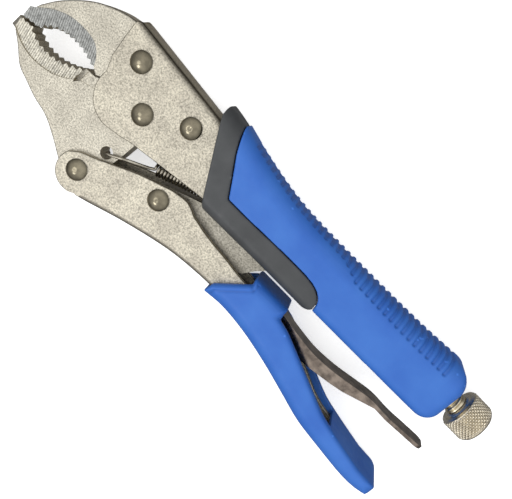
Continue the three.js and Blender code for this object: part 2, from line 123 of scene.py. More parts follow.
def smooth(points, steps):
    """A Catmull-Rom run through a few points of any dimension."""
    p = [np.array(q, float) for q in points]
    made = []
    for i in range(steps + 1):
        u = i * (len(p) - 1) / steps
        k = min(int(u), len(p) - 2)
        t = u - k
        a = p[k - 1] if k > 0 else 2 * p[0] - p[1]
        b, c = p[k], p[k + 1]
        d = p[k + 2] if k + 2 < len(p) else 2 * p[-1] - p[-2]
        square, cube = 2 * a - 5 * b + 4 * c - d, 3 * b - a - 3 * c + d
        made.append(tuple(0.5 * (2 * b + (c - a) * t + square * t**2 + cube * t**3)))
    return made


def bezier(points, steps):
    """A Bezier curve of any degree."""
    n = len(points) - 1
    made = []
    for i in range(steps + 1):
        t = i / steps
        weights = [math.comb(n, k) * t**k * (1 - t) ** (n - k) for k in range(n + 1)]
        made.append(tuple(sum(w * np.array(p, float) for w, p in zip(weights, points))))
    return made


def walk(points, steps):
    """Points at even distances along a run, and the unit direction at each."""
    p = np.array(points, float)
    step = np.linalg.norm(np.diff(p, axis=0), axis=1)
    at = np.concatenate([[0], np.cumsum(step)])
    wanted = np.linspace(0, at[-1], steps + 1)
    places = np.stack([np.interp(wanted, at, p[:, k]) for k in range(p.shape[1])], axis=1)
    ahead = np.gradient(places, axis=0)
    return places, ahead / np.linalg.norm(ahead, axis=1)[:, None]


def evenly(points, steps):
    return [tuple(p) for p in walk(points, steps)[0]]


def is_near(p, run, reach):
    """True where p, seen along the pivots, lies closer than reach to a run of points."""
    return min(math.dist((p.x, p.y), q) for q in run) < reach


def teeth(points, count, depth):
    """Teeth with eased crests, to both sides of a run."""
    per_tooth = 8
    places, ahead = walk(points, count * per_tooth)
    left = np.stack([-ahead[:, 1], ahead[:, 0]], axis=1)
    turn = np.arange(len(places)) * 2 * math.pi / per_tooth
    rise = depth / 2 * (np.cos(turn) + 0.12 * np.cos(3 * turn)) / 1.12
    return [tuple(q) for q in places + left * rise[:, None]]


def outline(*runs):
    """One closed outline from runs of points, counter-clockwise, without doubled points."""
    points = [tuple(map(float, p)) for run in runs for p in run]
    points = [p for i, p in enumerate(points) if math.dist(p, points[i - 1]) > 1e-3]
    area = sum(p[0] * q[1] - q[0] * p[1] for p, q in zip(points, points[1:] + points[:1]))
    return points if area > 0 else points[::-1]


# ------------------------------------------------------------------ meshes, in mm
def new_object(name, bm):
    mesh = bpy.data.meshes.new(name)
    bm.to_mesh(mesh)
    bm.free()
    obj = bpy.data.objects.new(name, mesh)
    bpy.context.scene.collection.objects.link(obj)
    return obj


def from_grid(name, rings, looped=False):
    """A skin over closed rings of points. The last ring joins the first, or both get a flat cap."""
    bm = bmesh.new()
    made = [[bm.verts.new(p) for p in ring] for ring in rings]
    count = len(rings[0])
    pairs = list(zip(made, made[1:])) + ([(made[-1], made[0])] if looped else [])
    for low, high in pairs:
        for i in range(count):
            j = (i + 1) % count
            bm.faces.new((low[i], low[j], high[j], high[i]))
    if not looped:
        bm.faces.new(made[0][::-1])
        bm.faces.new(made[-1])
    bmesh.ops.recalc_face_normals(bm, faces=bm.faces)
    return new_object(name, bm)


def plate(name, points, low, high):
    """An (x, y) outline that fills the heights from low to high."""
    return from_grid(name, [[(x, y, low) for x, y in points], [(x, y, high) for x, y in points]])


def turned(name, profile, centre):
    """A turned, upright piece. Its profile, (radius, height) pairs, starts and ends on the axis."""
    bm = bmesh.new()
    rows = []
    for radius, height in profile:
        row = []
        for i in range(SEGMENTS if radius > 1e-6 else 1):
            a = 2 * math.pi * i / SEGMENTS
            x, y = centre[0] + radius * math.cos(a), centre[1] + radius * math.sin(a)
            row.append(bm.verts.new((x, y, height)))
        rows.append(row)
    for low, high in zip(rows, rows[1:]):
        for i in range(SEGMENTS):
            j = (i + 1) % SEGMENTS
            ring = [low[i % len(low)], low[j % len(low)], high[j % len(high)], high[i % len(high)]]
            corners = list(dict.fromkeys(ring))
            if len(corners) > 2:
                bm.faces.new(corners)
    bmesh.ops.recalc_face_normals(bm, faces=bm.faces)
    return new_object(name, bm)


def standing(name, points):
    """A plate of an (x, z) outline, standing across the tool."""
    return from_grid(name, [[(x, y, z) for x, z in points] for y in (-FAR, FAR)])


def round_ended(end, half, radius):
    """A block cut off at x = end, where both of its upright corners are rounded."""
    return standing("tool", [(-FAR, half), (-FAR, -half)]
                    + arc((end - radius, radius - half), radius, -90, 0, 12)
                    + arc((end - radius, half - radius), radius, 0, 90, 12))


def drill(centre, radius):
    return turned("tool", [(0, -FAR), (radius, -FAR), (radius, FAR), (0, FAR)], centre)


def bake(obj):
    """Applies the modifiers."""
    graph = bpy.context.evaluated_depsgraph_get()
    mesh = bpy.data.meshes.new_from_object(obj.evaluated_get(graph))
    obj.modifiers.clear()
    obj.data = mesh
    return obj


def combine(obj, tools, operation):
    """Works the tools into a piece, one after the other, and removes them."""
    for tool in tools:
        step = obj.modifiers.new("combine", "BOOLEAN")
        step.operation = operation
        step.solver = "MANIFOLD"
        step.object = tool
        bake(obj)
        bpy.data.objects.remove(tool)
    return obj


def cut(obj, *tools):
    return combine(obj, tools, "DIFFERENCE")


def join(obj, *tools):
    return combine(obj, tools, "UNION")


def keep(obj, *tools):
    return combine(obj, tools, "INTERSECT")


def flatten(obj, near=0.002):
    """Merges points closer than near, and the small faces that lie in one plane."""
    bm = bmesh.new()
    bm.from_mesh(obj.data)
    bmesh.ops.remove_doubles(bm, verts=bm.verts, dist=near)
    bmesh.ops.dissolve_limit(bm, angle_limit=math.radians(0.4), verts=bm.verts, edges=bm.edges)
    bm.to_mesh(obj.data)
    bm.free()
    return obj


def round_edges(obj, width, where=None, angle=35, segments=3, clamp=True):
    """Rounds the edges sharper than an angle, or those of them that where(middle) takes."""
    bm = bmesh.new()
    bm.from_mesh(obj.data)
    bm.edges.ensure_lookup_table()
    chosen = [e for e in bm.edges
              if len(e.link_faces) == 2 and e.calc_face_angle(0) > math.radians(angle)
              and (where is None or where((e.verts[0].co + e.verts[1].co) / 2))]
    bmesh.ops.bevel(bm, geom=chosen, offset=width, offset_type="OFFSET", segments=segments,
                    profile=0.5, affect="EDGES", clamp_overlap=clamp)
    bm.to_mesh(obj.data)
    bm.free()
    return obj


def remesh(obj, voxel, passes):
    """An even fine mesh over the solid, with its edges eased."""
    step = obj.modifiers.new("voxels", "REMESH")
    step.mode = "VOXEL"
    step.voxel_size = voxel
    ease = obj.modifiers.new("ease", "SMOOTH")
    ease.factor = 0.5
    ease.iterations = passes
    return bake(obj)


def points_of(obj):
    """A mesh's points as an array."""
    co = np.zeros(len(obj.data.vertices) * 3, np.float32)
    obj.data.vertices.foreach_get("co", co)
    return co.reshape(-1, 3).astype(float)


def move_points(obj, co):
    obj.data.vertices.foreach_set("co", co.astype(np.float32).ravel())
    obj.data.update()


def normals_of(obj):
    made = np.zeros(len(obj.data.vertices) * 3, np.float32)
    obj.data.vertex_normals.foreach_get("vector", made)
    return made.reshape(-1, 3).astype(float)


def copy_node(node):
    """A CAD node's mesh, taken back to the outlines' millimetres."""
    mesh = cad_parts[node].data.copy()
    mesh.materials.clear()
    mesh.transform(Matrix.Scale(1 / MM, 4) @ Matrix.Translation(-ORIGIN))
    obj = bpy.data.objects.new("copy_" + node, mesh)
    bpy.context.scene.collection.objects.link(obj)
    return flatten(obj)


def place(obj, name, body, node, slot, material, crisp=None):
    """Takes a finished mesh to the frame, where it rides on a body and stands for a CAD node."""
    obj.name = name
    obj.data.name = name
    obj.data.transform(Matrix.Translation(ORIGIN) @ Matrix.Scale(MM, 4))
    obj.data.polygons.foreach_set("use_smooth", [True] * len(obj.data.polygons))
    if crisp is not None:
        mark_sharp(obj.data, crisp)
        weigh = obj.modifiers.new("even_shading", "WEIGHTED_NORMAL")
        weigh.keep_sharp = True
    obj.data.materials.clear()
    obj.data.materials.append(material)
    if body:
        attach(obj, body)
    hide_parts(node)
    return obj


def mark_sharp(mesh, angle):
    """Edges sharper than an angle show as edges in smooth shading."""
    bm = bmesh.new()
    bm.from_mesh(mesh)
    for e in bm.edges:
        e.smooth = len(e.link_faces) != 2 or e.calc_face_angle(0) < math.radians(angle)
    bm.to_mesh(mesh)
    bm.free()


# ------------------------------------------------------------------ materials
def linear(red, green, blue):
    """An sRGB colour, 0 to 255, as the shader takes it."""
    return tuple(((c / 255 + 0.055) / 1.055) ** 2.4 for c in (red, green, blue)) + (1,)


class Finish:
    """A procedural material under construction: one Principled shader and what feeds it."""

    def __init__(self, name, metallic, **constant):
        self.material = bpy.data.materials.new(name)
        self.material.use_nodes = True
        self.tree = self.material.node_tree
        self.shader = self.tree.nodes["Principled BSDF"]
        self.shader.inputs["Metallic"].default_value = metallic
        for key, value in constant.items():
            self.shader.inputs[key.replace("_", " ")].default_value = value
        self.place = self.node("ShaderNodeTexCoord").outputs["Object"]
        self.height = None

    def node(self, kind, **options):
        made = self.tree.nodes.new(kind)
        for key, value in options.items():
            setattr(made, key, value)
        return made

    def link(self, source, target):
        self.tree.links.new(source, target)

    def noise(self, size_mm, detail=2.0, roughness=0.5):
        """Cloudy noise whose features are about size_mm across."""
        made = self.node("ShaderNodeTexNoise")
        made.inputs["Scale"].default_value = 1 / (size_mm * MM)
        made.inputs["Detail"].default_value = detail
        made.inputs["Roughness"].default_value = roughness
        self.link(self.place, made.inputs["Vector"])
        return made.outputs["Fac"]

    def ramp(self, source, *stops):
        """Colours or greys at places from 0 to 1."""
        made = self.node("ShaderNodeValToRGB")
        elements = made.color_ramp.elements
        while len(elements) < len(stops):
            elements.new(0.5)
        for element, (place, value) in zip(elements, stops):
            element.position = place
            element.color = value if hasattr(value, "__len__") else (value, value, value, 1)
        self.link(source, made.inputs["Fac"])
        return made.outputs["Color"]

    def mix(self, factor, first, second, blend="MIX"):
        made = self.node("ShaderNodeMix", data_type="RGBA", blend_type=blend)
        factor_at, first_at, second_at = made.inputs[0], made.inputs[6], made.inputs[7]
        for socket, value in ((factor_at, factor), (first_at, first), (second_at, second)):
            if isinstance(value, bpy.types.NodeSocket):
                self.link(value, socket)
            else:
                socket.default_value = value
        return made.outputs[2]

    def lying(self, *stops):
        """A ramp from 0, on upright faces, to 1, on faces that lie flat with the tool."""
        geometry = self.node("ShaderNodeNewGeometry")
        split = self.node("ShaderNodeSeparateXYZ")
        self.link(geometry.outputs["Normal"], split.inputs[0])
        size = self.node("ShaderNodeMath", operation="ABSOLUTE")
        self.link(split.outputs["Z"], size.inputs[0])
        return self.ramp(size.outputs[0], *stops)

    def bent(self, *stops):
        """A ramp over how the surface bends: inwards below 0.5, outwards above it."""
        geometry = self.node("ShaderNodeNewGeometry")
        return self.ramp(geometry.outputs["Pointiness"], *stops)

    def colour(self, source):
        self.link(source, self.shader.inputs["Base Color"])

    def roughness(self, source):
        self.link(source, self.shader.inputs["Roughness"])

    def bump(self, source, depth_mm):
        made = self.node("ShaderNodeBump")
        made.inputs["Distance"].default_value = depth_mm * MM
        made.inputs["Strength"].default_value = 1
        self.link(source, made.inputs["Height"])
        if self.height is not None:
            self.link(self.height, made.inputs["Normal"])
        self.height = made.outputs["Normal"]
        self.link(self.height, self.shader.inputs["Normal"])


WHITE = (1, 1, 1, 1)


def plated_steel(name, light, dark):
    """Satin nickel over blasted steel: fine dark specks, faint clouds, and painted shade on edges
    and folds.
    """
    f = Finish(name, 0.85)
    clouds = f.ramp(f.noise(9, 3), (0.35, dark), (0.65, light))
    specks = f.ramp(f.noise(0.62, 3, 0.7), (0.34, 0.3), (0.6, 1.0))
    speckled = f.mix(0.8, clouds, specks, "MULTIPLY")
    # Painted shade by tilt: rounded edges and folds go dark, flat and upright faces stay light.
    painted_shade_by_tilt = f.lying((0.05, linear(255, 250, 240)), (0.5, linear(96, 89, 79)), (0.97, WHITE))
    f.colour(f.mix(1.0, speckled, painted_shade_by_tilt, "MULTIPLY"))
    f.roughness(f.ramp(f.noise(0.7, 3, 0.7), (0.3, 0.62), (0.7, 0.38)))
    f.bump(f.noise(0.45, 3, 0.7), 0.06)
    return f.material


def milled_steel(name, red, green, blue):
    """A cutter's finish: brighter and darker streaks, and painted shade on upright faces such as
    the grooves' walls.
    """
    f = Finish(name, 0.85)
    low, high = linear(0.7 * red, 0.7 * green, 0.7 * blue), linear(red, green, blue)
    shade = f.ramp(f.noise(1.1, 4, 0.75), (0.35, low), (0.6, high))
    # Painted shade by tilt: upright faces, the grooves' walls among them, go dark.
    painted_shade_by_tilt = f.lying((0.3, linear(120, 112, 102)), (0.95, WHITE))
    f.colour(f.mix(1.0, shade, painted_shade_by_tilt, "MULTIPLY"))
    f.roughness(f.ramp(f.noise(0.6, 3), (0.3, 0.35), (0.7, 0.55)))
    f.bump(f.noise(0.4, 3, 0.7), 0.04)
    return f.material


def polished_steel(name, light, dark, rough, hollow=1.0):
    """Smooth plate with faint clouds. Painted shade darkens its hollows to this share of the
    colour.
    """
    f = Finish(name, 1.0)
    clouds = f.ramp(f.noise(3.5, 3), (0.35, dark), (0.65, light))
    # Painted shade: hollows darken to the given share of the colour.
    f.colour(f.mix(1.0, clouds, f.bent((0.38, hollow), (0.5, 1.0)), "MULTIPLY"))
    f.roughness(f.ramp(f.noise(1.1, 4, 0.65), (0.3, rough[1]), (0.7, rough[0])))
    f.bump(f.noise(0.6, 3), 0.006)
    return f.material


def moulded_grip(name, light, dark, rough, grain=0.012):
    """Soft moulded plastic: faint mottling, a fine pebble, painted highlights on edges, painted
    shade in grooves.
    """
    f = Finish(name, 0.0, Specular_IOR_Level=0.42)
    base = f.ramp(f.noise(14, 3), (0.3, dark), (0.7, light))
    # Painted highlight: a lighter copy of the colour on convex edges.
    painted_edge_highlight = tuple(min(1, 1.25 * c + 0.01) for c in light[:3]) + (1,)
    edged = f.mix(f.bent((0.53, 0.0), (0.62, 1.0)), base, painted_edge_highlight)
    # Painted shade: grooves and other hollows go darker.
    f.colour(f.mix(0.8, edged, f.bent((0.42, 0.45), (0.5, 1.0)), "MULTIPLY"))
    f.roughness(f.ramp(f.noise(2.2, 3), (0.3, rough[1]), (0.7, rough[0])))
    f.bump(f.noise(0.35, 2, 0.6), grain)
    f.bump(f.noise(6, 2), 0.05)
    return f.material


STEEL = plated_steel("nickel_sheet", linear(224, 217, 199), linear(204, 197, 181))
FORGED = plated_steel("forged_steel", linear(224, 218, 202), linear(208, 202, 187))
# One milled finish in two copies: a darker one as painted shade and a paler one as painted light.
MILLED_PAINTED_SHADE = milled_steel("milled_painted_shade", 176, 177, 174)
MILLED_PAINTED_LIGHT = milled_steel("milled_painted_light", 232, 227, 212)
LINK_STEEL = plated_steel("link_steel", linear(190, 185, 172), linear(170, 165, 152))
RIVET_STEEL = polished_steel("rivet_steel", linear(150, 142, 122), linear(118, 112, 96),
                             (0.13, 0.24))
CHROME = polished_steel("chromed_lever", linear(150, 137, 126), linear(104, 95, 88), (0.10, 0.24))
KNOB_NICKEL = polished_steel("knurled_nickel", linear(244, 234, 212), linear(214, 204, 184),
                             (0.22, 0.40), hollow=0.12)
THREAD_NICKEL = polished_steel("thread_nickel", linear(232, 220, 194), linear(190, 178, 152),
                               (0.16, 0.32), hollow=0.2)
SPRING_STEEL = polished_steel("spring_steel", linear(190, 184, 170), linear(140, 134, 122),
                              (0.2, 0.36), hollow=0.15)
BLUE = moulded_grip("blue_grip", linear(62, 122, 214), linear(50, 109, 204), (0.40, 0.52))
BLACK = moulded_grip("black_grip", linear(80, 82, 84), linear(64, 66, 68), (0.38, 0.52), 0.02)


# ------------------------------------------------------------------ folded handles
UPPER_FOLD = [(-32, 26.3), (-4, 23.3), (24, 20.4), (45, 18), (66, 16.4), (88, 16.2), (120, 16.2),
              (150, 16.2)]
LOWER_FOLD = [(-4, -46), (6, -43.2), (22.6, -37.8), (42.2, -32.8), (58, -30.8), (74, -30.4),
              (89, -31.6), (104, -34.9), (118, -38.6), (131, -42), (145, -44.2), (160, -45.8)]
LOWER_NOSE = (-4.8, -36.6)
LOWER_NOSE_RADIUS = 8.7
WEB_START = 1
PRESSED_EDGE = 0.6
SPRING_PIN_HOLE = 1.8
LEVER_PIN_HOLE = 2.3


def folded_sheet(line, side, steps):
    """A U section carried along the fold line. side = 1 opens upwards, -1 downwards."""
    places, ahead = walk(smooth(line, 8 * len(line)), steps)
    flat = CHANNEL_OUT - FOLD
    bend = 8
    section = (
        [(-CHANNEL_OUT, FAR)]
        + arc((-flat, FOLD), FOLD, 180, 270, bend)
        + arc((flat, FOLD), FOLD, 270, 360, bend)
        + [(CHANNEL_OUT, FAR), (CHANNEL_IN, FAR)]
        + arc((flat, FOLD), FOLD - SHEET, 360, 270, bend)
        + arc((-flat, FOLD), FOLD - SHEET, 270, 180, bend)
        + [(-CHANNEL_IN, FAR)]
    )
    return from_grid("sheet", [[(x - dy * side * up, y + dx * side * up, z) for z, up in section]
                               for (x, y), (dx, dy) in zip(places, ahead)])


def press_edges(obj, where=None):
    return round_edges(flatten(obj, 0.03), PRESSED_EDGE, where, angle=50, clamp=False)


def upper_channel():
    cheek = outline(
        [(-23.4, FAR), (-23.4, 25.3), (-25.3, 24.2), (-24.8, 16), (-23.9, 8)],
        arc((-9, -1), 13, 167, 285, 40),
        [(-1, -12.9), (3.6, -11.6), (9, -10.8), (40, -6.4), (58, -4.6), (149.6, -3.6),
         (149.6, FAR)],
    )
    obj = keep(folded_sheet(UPPER_FOLD, -1, 60), plate("tool", cheek, -FAR, FAR))
    holes = [drill(p, RIVET_HOLE) for p in (JAW_PIVOT, FRONT_RIVET, REAR_RIVET)]
    cut(obj, *holes, drill(SPRING_ANCHOR, SPRING_PIN_HOLE))
    return press_edges(obj)


def off_the_nose(p):
    """False round the joint of the nose and the fold."""
    return p.x < -3 or p.x > 9 or p.y > -38


def lower_channel():
    front = smooth([(-11.6, -31.6), (-8.3, -29), (-2.1, -26.3), (3.3, -23.6), (14.2, -18.3),
                    (22.9, -15), (28.8, -12.9)], 24)
    hump = smooth([(28.8, -12.9), (35.2, -11.9), (38.6, -12.6), (41.9, -14.2)], 12)
    rear = smooth([(41.9, -14.2), (51.8, -16.1), (63.1, -17.2), (75, -18.6), (92, -19.6),
                   (100, -21.7), (108, -25.2), (120, -30.2), (135, -36.3), (158, -39.8)], 40)
    below = [(0.2, -FAR), (0.2, -43.7)]
    cheek = outline([(158, -FAR)], below, arc(LOWER_NOSE, LOWER_NOSE_RADIUS, -55, -210, 40),
                    front, hump, rear)
    nose_side = outline([(-FAR, 0), (-FAR, -FAR)], below, [
        (WEB_START + SHEET, -43), (WEB_START + SHEET, 0)])
    fold_side = outline([(WEB_START, -FAR), (3 * FAR, -FAR), (3 * FAR, 0), (WEB_START, 0)])
    nose = keep(plate("nose", cheek, -CHANNEL_OUT, CHANNEL_OUT),
                plate("tool", nose_side, -FAR, FAR))
    cut(nose, plate("tool", nose_side, -CHANNEL_IN, CHANNEL_IN))
    obj = keep(folded_sheet(LOWER_FOLD, 1, 80), plate("tool", cheek, -FAR, FAR),
               plate("tool", fold_side, -FAR, FAR))
    join(obj, nose)
    cut(obj, drill(LOWER_PIVOT, RIVET_HOLE), drill(LINK_PIVOT, RIVET_HOLE),
        drill(LEVER_PIVOT, LEVER_PIN_HOLE))
    return press_edges(obj, off_the_nose)


place(upper_channel(), "upper_handle_sheet", "upper_handle", "upper_handle_channel",
      "nickel_sheet", STEEL, crisp=50)
place(lower_channel(), "lower_handle_sheet", "lower_handle", "lower_handle_channel",
      "nickel_sheet", STEEL, crisp=50)


# ------------------------------------------------------------------ jaws
LINE_PITCH = 0.94
LINE_DEPTH = 0.16
LINE_FLAT = 0.58
LINE_BOTTOM = 0.8
FORGED_EDGE = 0.8
STEP_SLOPE = 0.6
BROKEN_EDGE = 0.12
HOOK_HOLE = 2.7
THROAT_DEPTH = 0.3


def swept(name, section, foot, out, run, ends, side):
    """An (out, height) section carried along run, from one end to the other."""
    rings = []
    for t in ends:
        points = [(foot + out * s + run * t, z) for s, z in section]
        rings.append([(p.x, p.y, z * side) for p, z in points])
    return from_grid(name, rings)


def milled_floor(band, along, side):
    """What the cutter takes off beside the teeth: the band down to a floor of fine lines."""
    run = Vector(along).normalized()
    across = Vector((run.y, -run.x))
    middle = Vector((-45, -4))
    reach = 45
    count = int(2 * reach / LINE_PITCH)
    section = []
    for i in range(count):
        s = -reach + i * LINE_PITCH
        section += [(s, TOOTH_HALF), (s + LINE_PITCH * LINE_FLAT, TOOTH_HALF - 0.02),
                    (s + LINE_PITCH * LINE_BOTTOM, TOOTH_HALF - LINE_DEPTH)]
    section += [(reach, FAR / 4), (-reach, FAR / 4)]
    floor = swept("floor", section, middle, across, run, (-reach, reach), side)
    return keep(floor, plate("tool", band, -FAR, FAR))


def finish_jaw(body, plain, rim, band, along):
    """A forging with eased outer rims and, on both sides, a milled band with a sloping step."""
    obj = plate("jaw", body, -JAW_HALF, JAW_HALF)
    eased, step = evenly(plain, 160), evenly(rim, 200)
    round_edges(obj, FORGED_EDGE, lambda p: abs(p.z) > JAW_HALF - 0.1 and is_near(p, eased, 1.6),
                angle=60, clamp=False)
    cut(obj, milled_floor(band, along, 1), milled_floor(band, along, -1))
    return round_edges(flatten(obj), STEP_SLOPE,
                       lambda p: abs(p.z) > JAW_HALF - 0.05 and is_near(p, step, 0.4),
                       angle=60, segments=2)


def fixed_jaw():
    nose = [(-61, -6.9), (-53.4, -5.8)]
    arch = bezier([(-53.4, -5.8), (-48.5, 1.6), (-38, 2.6), (-27.5, -1.4)], 60)
    back = smooth([(-26.2, 23.5), (-31.3, 22.4), (-36.6, 20.4), (-41.8, 17.8), (-47.2, 13.8),
                   (-53.4, 7.7), (-58, 1.4)], 40)
    body = outline(
        teeth(nose, 3, TOOTH_DEPTH / 2),
        teeth(arch, 11, TOOTH_DEPTH),
        [(-24.3, -2.7)],
        arc(JAW_PIVOT, 8.3, 115, 15, 30),
        arc(REAR_RIVET, 7.2, -110, 0, 24),
        [(24.6, 16.4), (23, 17.9), (-22, 22.5), (-25, 22.9)],
        back,
        [(-58.8, -0.9), (-61, -2.2)],
    )
    rim = smooth([(-58.6, -0.6), (-53.1, 3.5), (-46.4, 6.4), (-39.4, 7.1), (-33, 6.1), (-29.2, 3),
                  (-27, -1)], 40)
    band = outline([(-70, -20), (-70, -0.6)], rim, [(-27, -20)])
    obj = finish_jaw(body, back, rim, band, (-0.33, 0.94))
    cut(obj, drill(FRONT_RIVET, RIVET_HOLE), drill(REAR_RIVET, RIVET_HOLE))
    return round_edges(flatten(obj), BROKEN_EDGE, angle=50, segments=2)


def tip_bevel(side):
    """What the bevel on one side of the moving jaw's tip takes off."""
    wedge = [(-60.2, JAW_HALF), (-60.2, FAR), (-70, FAR), (-70, 2.1), (-63.6, 2.1)]
    return standing("tool", outline([(x, side * z) for x, z in wedge]))


def runout(side):
    """The slope by which the milled band's floor rises again at the jaw's throat."""
    foot, run = Vector((-30.1, -8)), Vector((0.96, 0.28))
    across = Vector((-run.y, run.x))
    section = [(-0.3, 3.6), (2.5, JAW_HALF + 0.05), (2.5, FAR), (-0.3, FAR)]
    slope = swept("runout", section, foot, run, across, (-9, 9), side)
    reach = outline([(-29.7, -2), (-29.6, -7.5), (-30.6, -10.2), (-33.4, -12.9), (-30.2, -12.2),
                     (-27.6, -9.2), (-26.6, -2)])
    return keep(slope, plate("tool", reach, -FAR, FAR))


def moving_jaw():
    nose = [(-62.4, -8.2), (-55.3, -7.6)]
    arch = bezier([(-55.3, -7.8), (-50.5, -11.6), (-40, -13.2), (-28.4, -4.2)], 60)
    outer = smooth([(-15.3, -37.9), (-22.1, -33.5), (-29.4, -29.6), (-37.3, -27.5), (-44, -24.9),
                    (-49.8, -22.4), (-55.3, -17.1), (-60.6, -12.6)], 50)
    body = outline(
        teeth(nose, 3, TOOTH_DEPTH / 2),
        teeth(arch, 10, TOOTH_DEPTH),
        [(-24, -3.6)],
        arc(JAW_PIVOT, 7.6, 115, -15, 30),
        [(5.4, -11.5), (4.4, -20), (3.2, -26)],
        arc(LOWER_PIVOT, 7.4, 20, -140, 36),
        outer,
        [(-63.3, -13.1)],
    )
    rim = smooth([(-61, -11.9), (-56.6, -14.3), (-53.1, -15.7), (-48.5, -16.5), (-44.3, -16.4),
                  (-39.6, -15.6), (-35.9, -14.4), (-30.7, -11.2), (-29.4, -8), (-29, -3)], 40)
    band = outline([(-70, 0), (-70, -11.9)], rim, [(-29, 0)])
    obj = finish_jaw(body, outer[:-3], rim, band, (0.12, -0.95))
    cut(obj, drill(JAW_PIVOT, RIVET_HOLE), drill(LOWER_PIVOT, RIVET_HOLE),
        drill(SPRING_HOOK, HOOK_HOLE))
    throat = outline([(-27.6, -8.8), (-20.4, -7), (-15, -5.6), (-15, 2), (-26.6, 2), (-27.2, -3)])
    cut(obj, tip_bevel(1), tip_bevel(-1), runout(1), runout(-1),
        plate("tool", throat, JAW_HALF - THROAT_DEPTH, FAR),
        plate("tool", throat, -FAR, THROAT_DEPTH - JAW_HALF))
    return round_edges(flatten(obj), BROKEN_EDGE, angle=50, segments=2)


def mill_faces(obj, material):
    """Gives the milled floors beside the teeth their own finish."""
    obj.data.materials.append(material)
    low, high = TOOTH_HALF - LINE_DEPTH - 0.05, TOOTH_HALF + 0.05
    throat_x = ORIGIN.x - 27 * MM
    for face in obj.data.polygons:
        height = abs(face.center.z - ORIGIN.z) / MM
        if low < height < high and face.center.x < throat_x and abs(face.normal.z) > 0.5:
            face.material_index = 1


# The fixed jaw's band takes the darker milled copy as painted shade, the moving jaw's band the
# paler copy as painted light.
mill_faces(place(fixed_jaw(), "fixed_jaw_forging", "upper_handle", "fixed_jaw", "forged_steel",
                 FORGED, crisp=40), MILLED_PAINTED_SHADE)
mill_faces(place(moving_jaw(), "moving_jaw_forging", "lower_jaw", "moving_jaw", "forged_steel",
                 FORGED, crisp=40), MILLED_PAINTED_LIGHT)


# ------------------------------------------------------------------ toggle link and release lever
def toggle_link():
    slope = math.degrees(math.atan2(LINK_END[1] - LINK_PIVOT[1], LINK_END[0] - LINK_PIVOT[0]))
    bar = outline(
        arc(LINK_END, 5.5, slope + 90, slope - 90, 28),
        [(84, -4.6), (79, -7.6), (74.4, -13), (71.4, -17.6), (68, -19.6), (62, -20.3), (48, -22.4)],
        arc(LINK_PIVOT, 5.9, slope - 90, slope - 270, 28),
    )
    obj = cut(plate("link", bar, -LINK_HALF, LINK_HALF), drill(LINK_PIVOT, RIVET_HOLE))
    return round_edges(obj, 0.5, angle=50)


LEVER_END = 174.4


def release_lever():
    back = smooth([(74.4, -23), (77, -21.6), (86, -19.2), (94, -17.4), (104, -18.8), (115, -19.9),
                   (126, -19.2), (136, -17.5), (145, -16.1), (155, -16.3), (165, -15.7),
                   (173.6, -15.2)], 88)
    side = outline(
        back,
        [(LEVER_END, -15.9), (173.8, -16.8), (155, -18), (148.6, -17.8)],
        smooth([(134.6, -22.6), (126.8, -24.2), (115.5, -25.8), (100, -27.6), (86, -28.8),
                (79, -27.4), (74.8, -25)], 40),
    )
    hollow = outline([(x, y - LEVER_SHEET) for x, y in back[:60]],
                     [(148, -18), (148, -FAR), (70, -FAR)])
    inside = LEVER_HALF - LEVER_SHEET
    obj = plate("lever", side, -LEVER_HALF, LEVER_HALF)
    spine = back[6:]
    round_edges(obj, 1.1, lambda p: abs(p.z) > LEVER_HALF - 0.1 and is_near(p, spine, 1.6),
                angle=60, segments=5)
    keep(obj, round_ended(LEVER_END, LEVER_HALF + 0.02, LEVER_HALF - 0.2))
    cut(obj, plate("tool", hollow, -inside, inside), drill(LEVER_PIVOT, LEVER_PIN_HOLE))
    return round_edges(flatten(obj), 0.25, angle=50)


place(toggle_link(), "toggle_link_bar", "toggle", "toggle_link", "nickel_sheet",
      LINK_STEEL, crisp=45)
place(release_lever(), "release_lever_pressing", "release", "release_lever", "bright_nickel",
      CHROME, crisp=45)


# ------------------------------------------------------------------ rivets and pins
RIVET_LIP = 0.15
MARK_RADIUS = 0.7


def rivet(centre, dimple):
    """Two domed heads on a shank. A dome may carry the punch's small centre mark."""
    seat = CHANNEL_OUT + PIN_GAP
    cap = RIVET_DOME - 0.2
    ball = (RIVET_HEAD**2 + cap**2) / (2 * cap)
    crown = []
    for i in range(15):
        radius = RIVET_HEAD * (1 - i / 14)
        rise = RIVET_DOME - ball + math.sqrt(ball**2 - radius**2)
        crown.append((radius, seat + rise - dimple * math.exp(-(radius / MARK_RADIUS) ** 2)))
    rim = [(RIVET_SHANK, seat), (RIVET_HEAD - RIVET_LIP, seat), (RIVET_HEAD, seat + RIVET_LIP)]
    upper = rim + crown[1:]
    lower = [(r, -z) for r, z in upper][::-1]
    return turned("rivet", lower + upper, centre)


for name, centre, body, dimple in (
    ("jaw_pivot_rivet", JAW_PIVOT, "upper_handle", 0.0),
    ("fixed_jaw_front_rivet", FRONT_RIVET, "upper_handle", 0.0),
    ("fixed_jaw_rear_rivet", REAR_RIVET, "upper_handle", 0.35),
    ("lower_handle_rivet", LOWER_PIVOT, "lower_handle", 0.12),
    ("link_rivet", LINK_PIVOT, "lower_handle", 0.12),
):
    place(rivet(centre, dimple), name + "_domed", body, name, "rivet_steel", RIVET_STEEL, crisp=50)


# ------------------------------------------------------------------ adjusting screw and knob
def on_screw(radius, angle, x):
    """A point at a radius and an angle round the screw's axis."""
    return (x, SCREW_Y + radius * math.cos(angle), radius * math.sin(angle))


def hoop(radius, x, count=SEGMENTS):
    return [on_screw(radius, 2 * math.pi * k / count, x) for k in range(count)]


